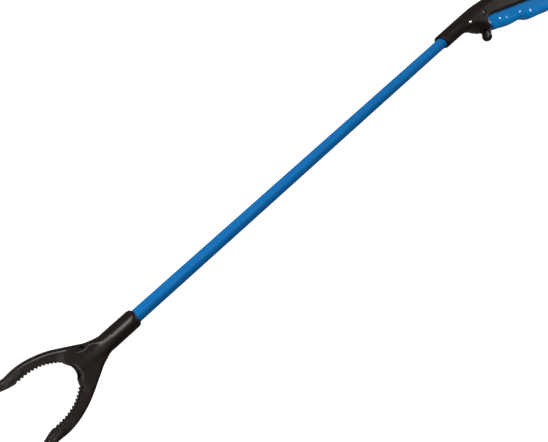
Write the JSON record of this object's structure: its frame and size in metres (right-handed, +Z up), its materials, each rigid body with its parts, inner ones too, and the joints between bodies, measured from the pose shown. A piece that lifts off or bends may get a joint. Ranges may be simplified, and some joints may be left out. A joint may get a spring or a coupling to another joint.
{
  "type": "reacher grabber",
  "caption": "Long-reach grabber with a round shaft, a bent trigger handle at one end and a pair of toothed curved jaws at the other that close when the trigger is squeezed.",
  "frame": {"origin": "on the rest face, the flat right side of the handle, straight under the rear end of the shaft tube on the shaft's axis", "axes": "+X along the shaft from the jaws to the handle, +Y the handle's top, away from the trigger, +Z up, the handle's left side; metres"},
  "size_m": [0.8305, 0.1018, 0.024],
  "materials": {
    "black": "satin black moulded plastic with fine grain",
    "blue_tube": "blue anodised tube, satin",
    "blue_plastic": "glossy blue moulded plastic",
    "steel": "bright zinc-plated steel",
    "nylon": "natural nylon"
  },
  "bodies": {
    "frame": {"shaft_tube": "blue_tube", "front_rod_guide": "nylon", "rear_rod_guide": "nylon", "head_shell_left": "black", "head_shell_right": "black", "head_screws": "steel", "head_lock_screw": "steel", "jaw_pivot_pins": "steel", "jaw_return_spring": "steel", "handle_shell_left": "black", "handle_shell_right": "black", "handle_screws": "steel", "shaft_rivets": "steel", "trigger_pivot_pin": "steel"},
    "rod": {"pull_rod": "steel", "jaw_crosshead": "steel", "crosshead_pins": "steel", "spring_washer": "steel", "rod_end_block": "nylon", "rod_jam_nut": "steel"},
    "trigger": {"trigger": "blue_plastic", "trigger_drive_pin": "steel"},
    "upper_jaw": {"upper_jaw": "black"},
    "lower_jaw": {"lower_jaw": "black"}
  },
  "joints": [
    {"name": "trigger_squeeze", "type": "hinge", "parent": "frame", "child": "trigger", "pos_m": [0.02, -0.003, 0.012], "axis": [0, 0, 1], "range_deg": [0, 12], "stiffness_Nm_per_rad": 1.2, "springref_deg": -14.32},
    {"name": "rod_slide", "type": "slide", "parent": "frame", "child": "rod", "axis": [1, 0, 0], "range_m": [0, 0.0027], "deforming": ["jaw_return_spring"]},
    {"name": "upper_jaw_close", "type": "hinge", "parent": "frame", "child": "upper_jaw", "pos_m": [-0.594, 0.009, 0.012], "axis": [0, 0, 1], "range_deg": [0, 24.33]},
    {"name": "lower_jaw_close", "type": "hinge", "parent": "frame", "child": "lower_jaw", "pos_m": [-0.594, -0.009, 0.012], "axis": [0, 0, -1], "range_deg": [0, 24.33]}
  ],
  "couplings": [
    {"joint": "rod_slide", "follows": "trigger_squeeze", "m_per_rad": 0.012876},
    {"joint": "upper_jaw_close", "follows": "trigger_squeeze", "ratio": 2.0271},
    {"joint": "lower_jaw_close", "follows": "trigger_squeeze", "ratio": 2.0271}
  ]
}
